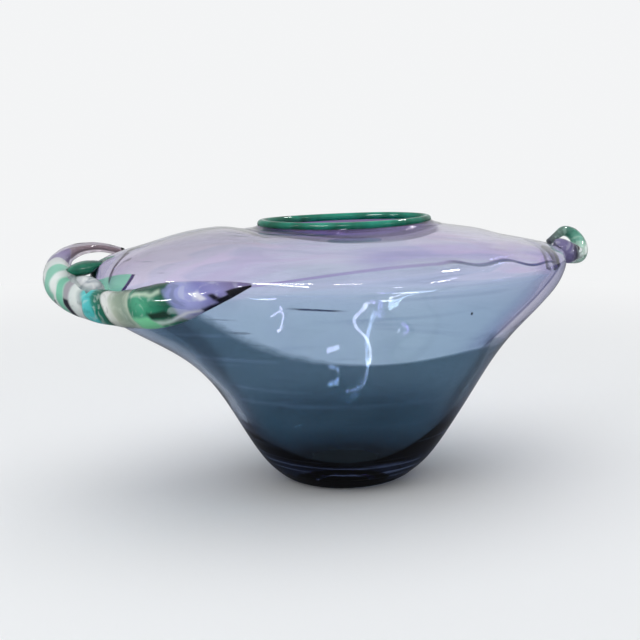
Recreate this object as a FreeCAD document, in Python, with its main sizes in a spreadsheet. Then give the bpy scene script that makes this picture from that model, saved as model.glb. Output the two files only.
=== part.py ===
import FreeCAD, Part
import os
from collections import namedtuple
from math import cos, pi, radians, sin

import Sketcher

# A free-blown glass bowl that is nearly closed: an oval foot, sides that lean out to two blunt tips,
# a low shoulder, and a short oval collar. A trailed wire of glass wraps the lip, and a looped handle
# is applied hot at each tip. X runs along the bowl, the larger handle is at -X, and Z is up.
# The origin is the middle of the ground foot.

DOCUMENT = FreeCAD.newDocument("GlassBowl")
SHEET = DOCUMENT.addObject("Spreadsheet::Sheet", "Sizes")

# The main sizes, in millimetres. The ridge is the sharp turn above the widest part of the bowl.
SIZES = {
    "left_reach": 155.0,
    "right_reach": 151.5,
    "body_width": 174.0,
    "ridge_height": 128.5,
    "shoulder_rise": 31.5,
    "foot_length": 76.0,
    "foot_width": 68.0,
    "lip_length": 107.0,
    "lip_width": 68.0,
    "base_thickness": 15.0,
    "floor_edge_rise": 1.6,
    "floor_turn_rise": 6.0,
    "lower_wall": 6.0,
    "side_wall": 4.5,
    "tip_wall": 11.0,
    "top_wall": 4.0,
    "collar_wall": 3.0,
    "lip_wire_radius": 2.1,
    "left_rod_radius": 11.9,
    "right_rod_radius": 6.7,
    "dab_length": 42.0,
    "dab_width": 24.0,
    "dab_thickness": 10.0,
}
FLOOR_SHARES = {"floor_share": 0.5, "floor_edge_share": 0.8}

# The blown outline, as level sections from the foot up. A section's height is its share of the way
# up, and its two reaches and its width are shares of the way from the narrow end to the widest
# part. Fullness says how far its corners are filled out: 0.707 is an ellipse, and less draws the
# two ends to a point.
Level = namedtuple("Level", "name up left right out fullness")

# From the foot out to the ridge.
SIDE = [
    Level("foot", up=0, left=0, right=0, out=0, fullness=0.707),
    Level("heel", up=0.04669, left=0.0769, right=0.0881, out=0.179, fullness=0.707),
    Level("base", up=0.1323, left=0.154, right=0.176, out=0.34, fullness=0.707),
    Level("lower", up=0.2646, left=0.244, right=0.273, out=0.519, fullness=0.7),
    Level("waist", up=0.4125, left=0.342, right=0.383, out=0.679, fullness=0.69),
    Level("middle", up=0.5603, left=0.47, right=0.502, out=0.811, fullness=0.66),
    Level("flare", up=0.6848, left=0.65, right=0.639, out=0.896, fullness=0.62),
    Level("belly", up=0.786, left=0.842, right=0.789, out=0.957, fullness=0.58),
    Level("hip", up=0.8716, left=0.953, right=0.907, out=0.992, fullness=0.55),
    Level("flank", up=0.9416, left=0.991, right=0.974, out=1, fullness=0.535),
    Level("brow", up=1, left=1, right=1, out=0.996, fullness=0.528),
]

# From the ridge in to the lip.
SHOULDER = [
    Level("edge", up=0.1746, left=0.992, right=0.997, out=0.968, fullness=0.528),
    Level("ridge", up=0.3016, left=0.966, right=0.974, out=0.868, fullness=0.528),
    Level("eave", up=0.4127, left=0.921, right=0.918, out=0.689, fullness=0.54),
    Level("slope", up=0.5238, left=0.833, right=0.801, out=0.472, fullness=0.57),
    Level("shoulder", up=0.6444, left=0.675, right=0.607, out=0.274, fullness=0.62),
    Level("crown", up=0.7587, left=0.438, right=0.372, out=0.113, fullness=0.67),
    Level("throat", up=0.8413, left=0.212, right=0.179, out=0.0491, fullness=0.7),
    Level("neck", up=0.8984, left=0.0739, right=0.0765, out=0.0189, fullness=0.707),
    Level("collar", up=0.9492, left=0.0148, right=0.0255, out=0.00377, fullness=0.707),
    Level("lip", up=1, left=0, right=0, out=0, fullness=0.707),
]

# A handle is a hot rod of glass, given as round stations along its middle line. They are shares of
# the bowl's reach and half width there, of the shoulder's rise above the ridge, and of the rod's
# own greatest radius.
Station = namedtuple("Station", "name along across above radius")
LEFT_HANDLE = [
    Station("tail", along=-0.5161, across=-0.7816, above=0.127, radius=0.0756),
    Station("wedge", along=-0.5903, across=-0.7414, above=0.0476, radius=0.42),
    Station("blob", along=-0.6871, across=-0.7011, above=-0.0635, radius=0.756),
    Station("thick", along=-0.7645, across=-0.6264, above=-0.175, radius=0.983),
    Station("hold", along=-0.8387, across=-0.5287, above=-0.27, radius=1),
    Station("front", along=-0.9161, across=-0.408, above=-0.327, radius=0.866),
    Station("bow", along=-0.9903, across=-0.2816, above=-0.308, radius=0.79),
    Station("bend", along=-1.052, across=-0.1437, above=-0.219, radius=0.807),
    Station("turn", along=-1.094, across=0, above=-0.0635, radius=0.824),
    Station("rise", along=-1.103, across=0.1437, above=0.105, radius=0.723),
    Station("top", along=-1.087, across=0.2874, above=0.27, radius=0.555),
    Station("arch", along=-1.048, across=0.3966, above=0.397, radius=0.42),
    Station("back", along=-0.9871, across=0.4483, above=0.479, radius=0.311),
    Station("thin", along=-0.9194, across=0.4195, above=0.492, radius=0.252),
    Station("end", along=-0.8516, across=0.3103, above=0.429, radius=0.218),
]
RIGHT_HANDLE = [
    Station("root", along=0.9505, across=0.01149, above=0.238, radius=0.955),
    Station("knuckle", along=1, across=-0.01724, above=0.206, radius=1),
    Station("under", along=1.046, across=-0.04023, above=0.121, radius=0.91),
    Station("bend", along=1.096, across=-0.02874, above=0.111, radius=0.791),
    Station("curl", along=1.129, across=0.03448, above=0.238, radius=0.716),
    Station("crest", along=1.135, across=0.1034, above=0.397, radius=0.672),
    Station("top", along=1.119, across=0.1494, above=0.524, radius=0.597),
    Station("fall", along=1.083, across=0.1552, above=0.565, radius=0.507),
    Station("tip", along=1.04, across=0.1264, above=0.492, radius=0.403),
    Station("end", along=0.9868, across=0.09195, above=0.365, radius=0.343),
]

# The middle of the flat dab of glass on the left tip that the large handle was laid over, placed as
# a station is.
DAB_PLACE = {"left_dab_along": -0.968, "left_dab_across": 0.023, "left_dab_above": 0.27}

# How many sections the lip wire is lofted through.
LIP_SECTIONS = 24

# A closed smooth curve through eight poles passes inside them, by this much at an ellipse's ends.
HALF_CORNER = cos(radians(45.0))
POLE_REACH = 6.0 / (4.0 + 2.0 * HALF_CORNER)


def add_sizes():
    """Write every driving size and share into the sheet, each with its own alias."""
    rows = list(SIZES.items()) + list(FLOOR_SHARES.items()) + list(DAB_PLACE.items())
    rows += [(f"{level.name}_{field}", getattr(level, field))
             for level in SIDE + SHOULDER for field in level._fields[1:]]
    for handle, stations in (("left", LEFT_HANDLE), ("right", RIGHT_HANDLE)):
        rows += [(f"{handle}_{station.name}_{field}", getattr(station, field))
                 for station in stations for field in station._fields[1:]]
    for number, (alias, value) in enumerate(rows, start=1):
        SHEET.set(f"A{number}", alias)
        SHEET.set(f"B{number}", str(value))
        SHEET.setAlias(f"B{number}", alias)
    DOCUMENT.recompute()


def measures(name):
    """Give expressions for a level's height, its two reaches and its half width."""
    if name in [level.name for level in SIDE]:
        end = "foot"
        height = f"Sizes.ridge_height * Sizes.{name}_up"
    else:
        end = "lip"
        height = f"Sizes.ridge_height + Sizes.shoulder_rise * Sizes.{name}_up"
    narrow = f"Sizes.{end}_length / 2"
    left, right = (f"{narrow} + (Sizes.{side}_reach - {narrow}) * Sizes.{name}_{side}"
                   for side in ("left", "right"))
    half_width = (f"(Sizes.{end}_width + (Sizes.body_width - Sizes.{end}_width)"
                  f" * Sizes.{name}_out) / 2")
    return height, left, right, half_width


def origin_plane(body, role):
    """Give one of a body's own origin planes."""
    return next(feature for feature in body.Origin.OriginFeatures if feature.Role == role)


def oval(body, name, height, left, right, half_width, fullness):
    """Sketch a level oval from expressions for its height, its two reaches, width and fullness."""
    sketch = body.newObject("Sketcher::SketchObject", name)
    sketch.AttachmentSupport = (origin_plane(body, "XY_Plane"), [""])
    sketch.MapMode = "FlatFace"
    sketch.setExpression("AttachmentOffset.Base.z", height)
    # The corner poles stand at a share of the side poles, and the front and back poles stand
    # out so far that the curve itself has the stated half width.
    reach = {1: f"({right}) * {POLE_REACH:.6f}", -1: f"({left}) * {POLE_REACH:.6f}", 0: None}
    width = f"({half_width}) * 6 / (4 + 2 * ({fullness}))"
    directions = [(1, 0), (1, 1), (0, 1), (-1, 1), (-1, 0), (-1, -1), (0, -1), (1, -1)]
    start = [FreeCAD.Vector(10.0 * x, 10.0 * y, 0.0) for x, y in directions]
    curve = Part.BSplineCurve()
    curve.buildFromPolesMultsKnots(start, [1] * 9, [float(k) for k in range(9)], True, 3)
    spline = sketch.addGeometry(curve, False)
    poles = []
    for number, pole in enumerate(start):
        circle = sketch.addGeometry(Part.Circle(pole, FreeCAD.Vector(0, 0, 1), 1.0), True)
        poles.append(circle)
        sketch.addConstraint(Sketcher.Constraint(
            "InternalAlignment:Sketcher::BSplineControlPoint", circle, 3, spline, number))
        sketch.addConstraint(Sketcher.Constraint("Weight", circle, 1.0))
    for circle, (x, y) in zip(poles, directions):
        along = f"{reach[x]} * {HALF_CORNER:.6f}" if y else reach[x]
        across = f"{width} * ({fullness})" if x else width
        pin(sketch, circle, "DistanceX", x, along)
        pin(sketch, circle, "DistanceY", y, across)
    return sketch


def pin(sketch, circle, kind, side, expression):
    """Hold a pole on the axis, or at an expression's distance to one side of it."""
    if side == 0:
        axis = -2 if kind == "DistanceX" else -1
        sketch.addConstraint(Sketcher.Constraint("PointOnObject", circle, 3, axis))
        return
    ends = (-1, 1, circle, 3) if side > 0 else (circle, 3, -1, 1)
    number = sketch.addConstraint(Sketcher.Constraint(kind, *ends, 10.0))
    sketch.setExpression(f"Constraints[{number}]", expression)


def loft(body, name, sketches):
    """Loft smoothly through a body's sketches, and make that its last feature."""
    feature = body.newObject("PartDesign::AdditiveLoft", name)
    feature.Profile = sketches[0]
    feature.Sections = [(sketch, [""]) for sketch in sketches[1:]]
    feature.Ruled = False
    feature.Closed = False
    body.Tip = feature
    DOCUMENT.recompute()
    return body


def outer_form():
    """Build the blown form as if it were solid glass."""
    body = DOCUMENT.addObject("PartDesign::Body", "OuterForm")
    outlines = [oval(body, f"{level.name.capitalize()}Outline", *measures(level.name),
                     f"Sizes.{level.name}_fullness") for level in SIDE + SHOULDER]
    return loft(body, "Blown", outlines)


def cavity_form():
    """Build the hollow: each outer level moved in or down by the wall, over a rounded floor."""
    body = DOCUMENT.addObject("PartDesign::Body", "CavityForm")

    def hollow(name, level, tip_wall, wall, share="1", height=None, drop="0"):
        level_height, left, right, half_width = measures(level)
        return oval(body, name, height or f"{level_height} - {drop}",
                    f"({left} - {tip_wall}) * {share}", f"({right} - {tip_wall}) * {share}",
                    f"({half_width} - {wall}) * {share}", f"Sizes.{level}_fullness")

    floor = "Sizes.base_thickness"
    low = "Sizes.lower_wall"
    side = "Sizes.side_wall"
    tip = "Sizes.tip_wall"
    top = "Sizes.top_wall"
    rim = "Sizes.collar_wall"
    outlines = [
        hollow("FloorHollow", "base", low, low, "Sizes.floor_share", floor),
        hollow("FloorEdgeHollow", "base", low, low, "Sizes.floor_edge_share",
               f"{floor} + Sizes.floor_edge_rise"),
        hollow("FloorTurnHollow", "base", low, low, height=f"{floor} + Sizes.floor_turn_rise"),
    ]
    # In the side the glass is measured level, so each hollow lies inside its own outer level.
    for name, end, wall in (("lower", low, low), ("waist", low, low), ("middle", low, side),
                            ("flare", tip, side), ("belly", tip, side), ("hip", tip, side),
                            ("flank", tip, side), ("brow", tip, side)):
        outlines.append(hollow(f"{name.capitalize()}Hollow", name, end, wall))
    # Under the shoulder it is measured upright, so each hollow lies below its own outer level.
    for name, end, wall in (("eave", tip, side), ("slope", tip, side), ("shoulder", side, side),
                            ("crown", side, rim), ("throat", rim, rim), ("neck", rim, rim)):
        outlines.append(hollow(f"{name.capitalize()}Hollow", name, end, wall, drop=top))
    lip_height = measures("lip")[0]
    outlines.append(hollow("LipHollow", "lip", rim, rim, height=measures("collar")[0]))
    outlines.append(hollow("MouthHollow", "lip", rim, rim,
                           height=f"{lip_height} + Sizes.lip_wire_radius"))
    return loft(body, "Hollow", outlines)


def lip_wire():
    """Lay a round wire of glass along the middle of the rim, as a closed loft of its sections."""
    circles = []
    for number in range(LIP_SECTIONS):
        angle = 2.0 * pi * number / LIP_SECTIONS
        circle = DOCUMENT.addObject("Part::Circle", f"WireSection{number}")
        along = FreeCAD.Vector(-SHEET.lip_length * sin(angle), SHEET.lip_width * cos(angle), 0.0)
        circle.Placement.Rotation = square_to(along.normalize())
        circle.setExpression("Radius", "Sizes.lip_wire_radius")
        for axis, size, share in (("x", "lip_length", cos(angle)), ("y", "lip_width", sin(angle))):
            circle.setExpression(f"Placement.Base.{axis}",
                                 f"(Sizes.{size} - Sizes.collar_wall) / 2 * {share:.6f}")
        circle.setExpression("Placement.Base.z", measures("lip")[0])
        circles.append(circle)
    ring = DOCUMENT.addObject("Part::Loft", "LipWire")
    ring.Sections = circles
    ring.Solid = True
    ring.Closed = True
    DOCUMENT.recompute()
    return ring


def square_to(along):
    """Turn a circle so that it stands square to a direction, with its start point level."""
    return FreeCAD.Rotation(along.cross(FreeCAD.Vector(0, 0, 1)).normalize(), FreeCAD.Vector(),
                            along, "ZXY")


def rod(name, handle, stations):
    """Loft a rod of glass through its round stations, each square to the run of the rod."""
    circles = []
    for station in stations:
        cell = f"Sizes.{handle}_{station.name}"
        circle = DOCUMENT.addObject("Part::Circle", f"{name}{station.name.capitalize()}")
        circle.setExpression("Radius", f"Sizes.{handle}_rod_radius * {cell}_radius")
        place(circle, handle, cell)
        circles.append(circle)
    DOCUMENT.recompute()
    places = [FreeCAD.Vector(circle.Placement.Base) for circle in circles]
    for number, circle in enumerate(circles):
        before = places[max(number - 1, 0)]
        after = places[min(number + 1, len(places) - 1)]
        circle.Placement.Rotation = square_to((after - before).normalize())
    run = DOCUMENT.addObject("Part::Loft", name)
    run.Sections = circles
    run.Solid = True
    run.Ruled = False
    DOCUMENT.recompute()
    return run


def place(item, handle, cell):
    """Stand a piece of a handle at its shares of the bowl's tip."""
    item.setExpression("Placement.Base.x", f"Sizes.{handle}_reach * {cell}_along")
    item.setExpression("Placement.Base.y", f"Sizes.body_width / 2 * {cell}_across")
    item.setExpression("Placement.Base.z",
                       f"Sizes.ridge_height + Sizes.shoulder_rise * {cell}_above")


def tip_dab():
    """Press a flat dab of glass over the left tip, for the large handle to be laid on."""
    dab = DOCUMENT.addObject("Part::Ellipsoid", "TipDab")
    dab.setExpression("Radius1", "Sizes.dab_thickness / 2")
    dab.setExpression("Radius2", "Sizes.dab_length / 2")
    dab.setExpression("Radius3", "Sizes.dab_width / 2")
    place(dab, "left", "Sizes.left_dab")
    return dab


def join(name, base, tool):
    """Melt two forms of one gather of glass into one."""
    gather = DOCUMENT.addObject("Part::Fuse", name)
    gather.Base = base
    gather.Tool = tool
    DOCUMENT.recompute()
    return gather


def cut(name, label, base, tool):
    """Cut one form out of another, and give the piece that is left its name."""
    piece = DOCUMENT.addObject("Part::Cut", name)
    piece.Base = base
    piece.Tool = tool
    piece.Label = label
    DOCUMENT.recompute()
    return piece


add_sizes()
OUTER = outer_form()
BOWL = cut("BowlBody", "bowl_body", OUTER, cavity_form())
LEFT_GATHER = join("LeftGather", rod("LeftRod", "left", LEFT_HANDLE), tip_dab())
PIECES = [
    BOWL,
    cut("LipWrap", "lip_wrap", lip_wire(), BOWL),
    cut("LeftHandle", "left_handle", LEFT_GATHER, OUTER),
    cut("RightHandle", "right_handle", rod("RightRod", "right", RIGHT_HANDLE), OUTER),
]

for item in DOCUMENT.Objects:
    if "Invalid" in item.State or "Error" in item.State:
        raise RuntimeError(f"{item.Name} failed: {item.State}")
os.makedirs("parts", exist_ok=True)
for piece in PIECES:
    if piece.Shape.isNull() or not piece.Shape.isValid():
        raise RuntimeError(f"{piece.Label} has no sound shape")
    piece.Shape.exportStep(f"parts/{piece.Label}.step")
    print(piece.Label, len(piece.Shape.Solids), "solid", round(piece.Shape.Volume), "mm3")
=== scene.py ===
from math import cos, exp, pi, radians, sin

import bmesh
import bpy
from mathutils import Matrix, Vector, noise
from mathutils.bvhtree import BVHTree


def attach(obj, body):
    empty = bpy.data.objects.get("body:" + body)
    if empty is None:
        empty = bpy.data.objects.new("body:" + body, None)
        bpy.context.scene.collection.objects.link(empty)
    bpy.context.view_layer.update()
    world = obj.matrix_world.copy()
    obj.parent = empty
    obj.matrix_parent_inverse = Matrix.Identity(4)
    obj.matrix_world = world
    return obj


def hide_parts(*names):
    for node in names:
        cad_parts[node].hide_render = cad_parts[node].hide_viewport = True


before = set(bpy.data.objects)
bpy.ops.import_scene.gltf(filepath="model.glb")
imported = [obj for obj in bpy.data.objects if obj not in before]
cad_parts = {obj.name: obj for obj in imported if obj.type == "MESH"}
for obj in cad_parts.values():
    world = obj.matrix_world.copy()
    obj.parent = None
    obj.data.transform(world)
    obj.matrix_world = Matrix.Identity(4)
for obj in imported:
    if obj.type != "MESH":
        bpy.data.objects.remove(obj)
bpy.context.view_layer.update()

# The blown bowl: one heavy gather of glass, blown and pulled out to two blunt tips, with a ground
# oval foot under a solid base, a low shoulder and a short collar. The colour is in the glass: pale
# lavender in the shoulder, steel blue in the side and nearly black in the base. The darker lower side
# with its sharp front edge, the black base and the dark ends are partly painted shade.

# Each level is its height, its reach to the left, its reach to the right, its half width and how
# full its corners are, where 0.707 is an ellipse.
OUTER_LEVELS = [
    (0.0000, 0.0380, 0.0380, 0.0340, 0.707),
    (0.0060, 0.0470, 0.0480, 0.0435, 0.707),
    (0.0170, 0.0560, 0.0580, 0.0520, 0.707),
    (0.0340, 0.0665, 0.0690, 0.0615, 0.700),
    (0.0530, 0.0780, 0.0815, 0.0700, 0.690),
    (0.0720, 0.0930, 0.0950, 0.0770, 0.660),
    (0.0880, 0.1140, 0.1105, 0.0815, 0.620),
    (0.1010, 0.1365, 0.1275, 0.0847, 0.580),
    (0.1120, 0.1495, 0.1410, 0.0866, 0.550),
    (0.1210, 0.1540, 0.1485, 0.0870, 0.535),
    (0.1285, 0.1550, 0.1515, 0.0868, 0.528),
    (0.1340, 0.1542, 0.1512, 0.0853, 0.528),
    (0.1380, 0.1515, 0.1490, 0.0800, 0.528),
    (0.1415, 0.1470, 0.1435, 0.0705, 0.540),
    (0.1450, 0.1380, 0.1320, 0.0590, 0.570),
    (0.1488, 0.1220, 0.1130, 0.0485, 0.620),
    (0.1524, 0.0980, 0.0900, 0.0400, 0.670),
    (0.1550, 0.0750, 0.0710, 0.0366, 0.700),
    (0.1568, 0.0618, 0.0610, 0.0350, 0.707),
    (0.1584, 0.0562, 0.0560, 0.0342, 0.707),
    (0.1600, 0.0545, 0.0540, 0.0340, 0.707),
]
LOWER_WALL = 0.006
SIDE_WALL = 0.0045
TIP_WALL = 0.011
TOP_WALL = 0.004
COLLAR_WALL = 0.003

# A smoothed ring passes a sixth of the way in from its cage points towards each neighbour, so the
# cage stands out by this much at the ends of an ellipse.
HALF_CORNER = cos(radians(45.0))
POLE_REACH = 6.0 / (4.0 + 2.0 * HALF_CORNER)
FOOT_FLAT_SHARE = 0.7
FOOT_EDGE_SHARE = 0.12


def hollow_level(level, end_wall, wall, drop=0.0, share=1.0):
    """Move an outer level in by the wall, and down by the drop."""
    height, left, right, half_width, fullness = level
    return (height - drop, (left - end_wall) * share, (right - end_wall) * share,
            (half_width - wall) * share, fullness)


def level_poles(level):
    """Give the eight cage points round one level."""
    height, left, right, half_width, fullness = level
    front = half_width * 6.0 / (4.0 + 2.0 * fullness)
    points = []
    for x, y in ((1, 0), (1, 1), (0, 1), (-1, 1), (-1, 0), (-1, -1), (0, -1), (1, -1)):
        reach = (right if x > 0 else left) * POLE_REACH
        along = x * reach * (HALF_CORNER if y else 1.0)
        across = y * front * (fullness if x else 1.0)
        points.append(Vector((along, across, height)))
    return points


def sharpen(rings, fixed):
    """Push each ring out so that the smoothed surface passes through the level it was given."""
    moved = []
    for number, ring in enumerate(rings):
        if number in fixed:
            moved.append(ring)
            continue
        below = rings[number - 1]
        above = rings[number + 1]
        moved.append([point + (2.0 * point - low - high) / 6.0
                      for point, low, high in zip(ring, below, above)])
    return moved


def skin(name, rings, smoothing, outer_count):
    """Extrude one closed form ring by ring, close both its ends, and smooth it.

    Each point keeps whether it is on the outer side of the wall.
    """
    form = bmesh.new()
    outer_layer = form.verts.layers.float.new("outer")
    bmesh.ops.create_circle(form, segments=len(rings[0]), radius=1.0, cap_ends=True)
    form.verts.ensure_lookup_table()
    edge_loop = list(form.edges)
    lead = sorted(form.verts, key=lambda vert: vert.index)
    for vert, point in zip(lead, rings[0]):
        vert.co = point
        vert[outer_layer] = 1.0
    for number, ring in enumerate(rings[1:], 1):
        made = bmesh.ops.extrude_edge_only(form, edges=edge_loop)["geom"]
        edge_loop = [part for part in made if isinstance(part, bmesh.types.BMEdge)]
        new_verts = [part for part in made if isinstance(part, bmesh.types.BMVert)]
        parent = {vert: next(edge.other_vert(vert) for edge in vert.link_edges
                             if edge.other_vert(vert) not in new_verts) for vert in new_verts}
        order = {old: index for index, old in enumerate(lead)}
        fresh = sorted(new_verts, key=lambda vert: order[parent[vert]])
        for vert, point in zip(fresh, ring):
            vert.co = point
            vert[outer_layer] = 1.0 if number < outer_count else 0.0
        lead = fresh
    bmesh.ops.contextual_create(form, geom=lead)
    bmesh.ops.recalc_face_normals(form, faces=form.faces)
    return finish_form(name, form, smoothing)


def finish_form(name, form, smoothing=0):
    """Turn a bmesh into a smooth-shaded object, with its subdivision applied."""
    mesh = bpy.data.meshes.new(name)
    form.to_mesh(mesh)
    form.free()
    piece = bpy.data.objects.new(name, mesh)
    bpy.context.scene.collection.objects.link(piece)
    if smoothing:
        smooth = piece.modifiers.new("Smooth", "SUBSURF")
        smooth.levels = smoothing
        smooth.render_levels = smoothing
        applied = bpy.data.meshes.new_from_object(piece.evaluated_get(
            bpy.context.evaluated_depsgraph_get()))
        piece.modifiers.clear()
        piece.data = applied
        applied.name = name
    piece.data.polygons.foreach_set("use_smooth", [True] * len(piece.data.polygons))
    return piece


outer_rings = [level_poles(level) for level in OUTER_LEVELS]
outer_rings.insert(0, [point * FOOT_FLAT_SHARE for point in outer_rings[0]])
outer_rings.insert(2, [point.lerp(above, FOOT_EDGE_SHARE)
                       for point, above in zip(outer_rings[1], outer_rings[2])])
hollow = [
    hollow_level(OUTER_LEVELS[20], COLLAR_WALL, COLLAR_WALL),
    hollow_level(OUTER_LEVELS[20], COLLAR_WALL, COLLAR_WALL, drop=0.0016),
    hollow_level(OUTER_LEVELS[18], COLLAR_WALL, COLLAR_WALL, drop=TOP_WALL),
    hollow_level(OUTER_LEVELS[17], COLLAR_WALL, COLLAR_WALL, drop=TOP_WALL),
    hollow_level(OUTER_LEVELS[16], SIDE_WALL, COLLAR_WALL, drop=TOP_WALL),
    hollow_level(OUTER_LEVELS[15], SIDE_WALL, SIDE_WALL, drop=TOP_WALL),
    hollow_level(OUTER_LEVELS[14], TIP_WALL, SIDE_WALL, drop=TOP_WALL),
    hollow_level(OUTER_LEVELS[13], TIP_WALL, SIDE_WALL, drop=TOP_WALL),
    hollow_level(OUTER_LEVELS[10], TIP_WALL, SIDE_WALL),
    hollow_level(OUTER_LEVELS[9], TIP_WALL, SIDE_WALL),
    hollow_level(OUTER_LEVELS[8], TIP_WALL, SIDE_WALL),
    hollow_level(OUTER_LEVELS[7], TIP_WALL, SIDE_WALL),
    hollow_level(OUTER_LEVELS[6], TIP_WALL, SIDE_WALL),
    hollow_level(OUTER_LEVELS[5], LOWER_WALL, SIDE_WALL),
    hollow_level(OUTER_LEVELS[4], LOWER_WALL, LOWER_WALL),
    hollow_level(OUTER_LEVELS[3], LOWER_WALL, LOWER_WALL),
    hollow_level(OUTER_LEVELS[2], LOWER_WALL, LOWER_WALL, drop=-0.004),
    hollow_level(OUTER_LEVELS[2], LOWER_WALL, LOWER_WALL, drop=0.0004, share=0.8),
    hollow_level(OUTER_LEVELS[2], LOWER_WALL, LOWER_WALL, drop=0.002, share=0.5),
    hollow_level(OUTER_LEVELS[2], LOWER_WALL, LOWER_WALL, drop=0.0022, share=0.25),
]
rings = outer_rings + [level_poles(level) for level in hollow]
rim = len(outer_rings) - 1
rings = sharpen(rings, fixed=(0, 1, 2, 3, rim, rim + 1, len(rings) - 1))
bowl = skin("bowl_glass", rings, smoothing=3, outer_count=len(outer_rings))

# What the hand left on the form: how far each part of it moved, and where.
RIM_SAG = 0.0016
LEFT_SWELL = 0.0037
RIGHT_SINK = 0.0020
PADDLE_DENT = 0.0003
PADDLE_SCALE = 14.0
PADDLED_FROM, PADDLED_TO = 0.004, 0.1565
RIDGE_HEIGHT = 0.138
RIDGE_SPREAD = 0.005
RIDGE_WAVE = 0.0009
WAVE_CREST = 0.054
WAVE_RATE = 150.0


def ramped(value, low, high):
    """Rise evenly from 0 to 1 as a number goes from low to high."""
    return max(0.0, min(1.0, (value - low) / (high - low)))


def eased(value, low, high):
    """Rise smoothly from 0 to 1 as a number goes from low to high."""
    share = ramped(value, low, high)
    return share * share * (3.0 - 2.0 * share)


def sagged(place):
    """Say how far the rim has sagged at a place: it lies lower over its left half."""
    return RIM_SAG * eased(-place.x, -0.045, 0.020) * ramped(place.z, 0.150, 0.157)


def swollen(place):
    """Say how much higher the shoulder is at a place: it is fuller on the left."""
    left = eased(place.x, -0.130, -0.085) * eased(-place.x, 0.056, 0.078)
    right = eased(place.x, 0.085, 0.110)
    return (LEFT_SWELL * left - RIGHT_SINK * right) * eased(place.z, 0.136, 0.147)


def hand_work(piece):
    """Leave the shallow dents of the paddle, the wave of the ridge and the sag of the rim."""
    normals = [vert.normal.copy() for vert in piece.data.vertices]
    for vert, normal in zip(piece.data.vertices, normals):
        place = vert.co.copy()
        depth = 0.0
        if PADDLED_FROM <= place.z <= PADDLED_TO:
            depth = PADDLE_DENT * (1.0 + noise.noise(place * PADDLE_SCALE))
        near_ridge = exp(-((place.z - RIDGE_HEIGHT) / RIDGE_SPREAD) ** 2)
        front_right = ramped(place.x, 0.02, 0.06) if place.y < 0.0 else 0.0
        wave = -RIDGE_WAVE * cos((place.x - WAVE_CREST) * WAVE_RATE) * near_ridge * front_right
        lift = wave + swollen(place) - sagged(place)
        vert.co = place - normal * depth + Vector((0.0, 0.0, lift))


hand_work(bowl)


class Wire:
    """A socket in a material that plain sums can be written on."""

    def __init__(self, finish, socket):
        self.finish = finish
        self.socket = socket

    def sum(self, operation, first, second):
        """Join two values by a Math node."""
        return self.finish.node("ShaderNodeMath", {"operation": operation}, {0: first, 1: second})

    def __add__(self, other):
        return self.sum("ADD", self, other)

    __radd__ = __add__

    def __sub__(self, other):
        return self.sum("SUBTRACT", self, other)

    def __rsub__(self, other):
        return self.sum("SUBTRACT", other, self)

    def __mul__(self, other):
        return self.sum("MULTIPLY", self, other)

    __rmul__ = __mul__

    def __truediv__(self, other):
        return self.sum("DIVIDE", self, other)

    def __rtruediv__(self, other):
        return self.sum("DIVIDE", other, self)


class Finish:
    """The nodes of a material, or of the world, which all come from one method."""

    def __init__(self, owner):
        owner.use_nodes = True
        self.owner = owner
        self.tree = owner.node_tree
        self.tree.nodes.clear()

    def node(self, kind, settings=None, inputs=None, output=0):
        """Add a node, give it its settings, then the values or links of its sockets."""
        made = self.tree.nodes.new(kind)
        for key, value in (settings or {}).items():
            if key == "stops":
                ramp = made.color_ramp
                while len(ramp.elements) < len(value):
                    ramp.elements.new(1.0)
                for element, (place, colour) in zip(ramp.elements, value):
                    element.position = place
                    element.color = colour
            else:
                setattr(made, key, value)
        for key, value in (inputs or {}).items():
            if isinstance(value, Wire):
                self.tree.links.new(value.socket, made.inputs[key])
            else:
                made.inputs[key].default_value = value
        return Wire(self, made.outputs[output]) if made.outputs else None

    def shade(self, **shaders):
        """Send the finished shaders to the surface and to the inside, and give the material."""
        self.node("ShaderNodeOutputMaterial", {}, {
            part.capitalize(): shader for part, shader in shaders.items()})
        return self.owner


def tint(red, green, blue):
    """Turn a colour as a screen shows it, out of 255, into the renderer's own scale."""
    return tuple((part / 255.0) ** 2.2 for part in (red, green, blue)) + (1.0,)


def between(value, low, high):
    """Rise smoothly from 0 to 1 as a value goes from low to high."""
    return value.finish.node("ShaderNodeMapRange", {"interpolation_type": "SMOOTHSTEP"},
                             {"Value": value, "From Min": low, "From Max": high})


def near(value, middle, reach):
    """Give 1 at the middle, and fall smoothly to 0 at the reach on both sides."""
    gap = value.finish.node("ShaderNodeMath", {"operation": "ABSOLUTE"}, {0: value - middle})
    return 1.0 - between(gap, reach * 0.4, reach)


def laid_over(mask, first, second):
    """Mix two colours by a mask."""
    return mask.finish.node("ShaderNodeMix", {"data_type": "RGBA"}, {0: mask, 6: first, 7: second},
                            output=2)


def curve(value, shares):
    """Work out a curve from its height in the middle, its slope, its bend and so on."""
    total = shares[-1]
    for share in reversed(shares[:-1]):
        total = value * total + share
    return total


# The glass's colour at each height, as a share of the height that a ramp covers. The lower ramp is
# partly the glass's own colour and partly painted shade.
LOW_REACH = 0.100
LOW_STOPS = [
    (0.00, tint(113, 142, 157)), (0.45, tint(113, 142, 157)), (0.60, tint(100, 126, 141)),
    (1.00, tint(98, 123, 138))]
HIGH_START, HIGH_REACH = 0.030, 0.110
HIGH_STOPS = [
    (0.00, tint(182, 196, 210)), (0.24, tint(202, 217, 229)), (0.55, tint(204, 223, 236)),
    (0.77, tint(208, 222, 235)), (0.91, tint(222, 229, 244))]
SHOULDER_START, SHOULDER_REACH = 0.130, 0.032
SHOULDER_STOPS = [
    (0.00, tint(244, 238, 250)), (0.25, tint(246, 240, 250)), (0.50, tint(238, 234, 244)),
    (0.70, tint(228, 226, 234))]
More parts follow.
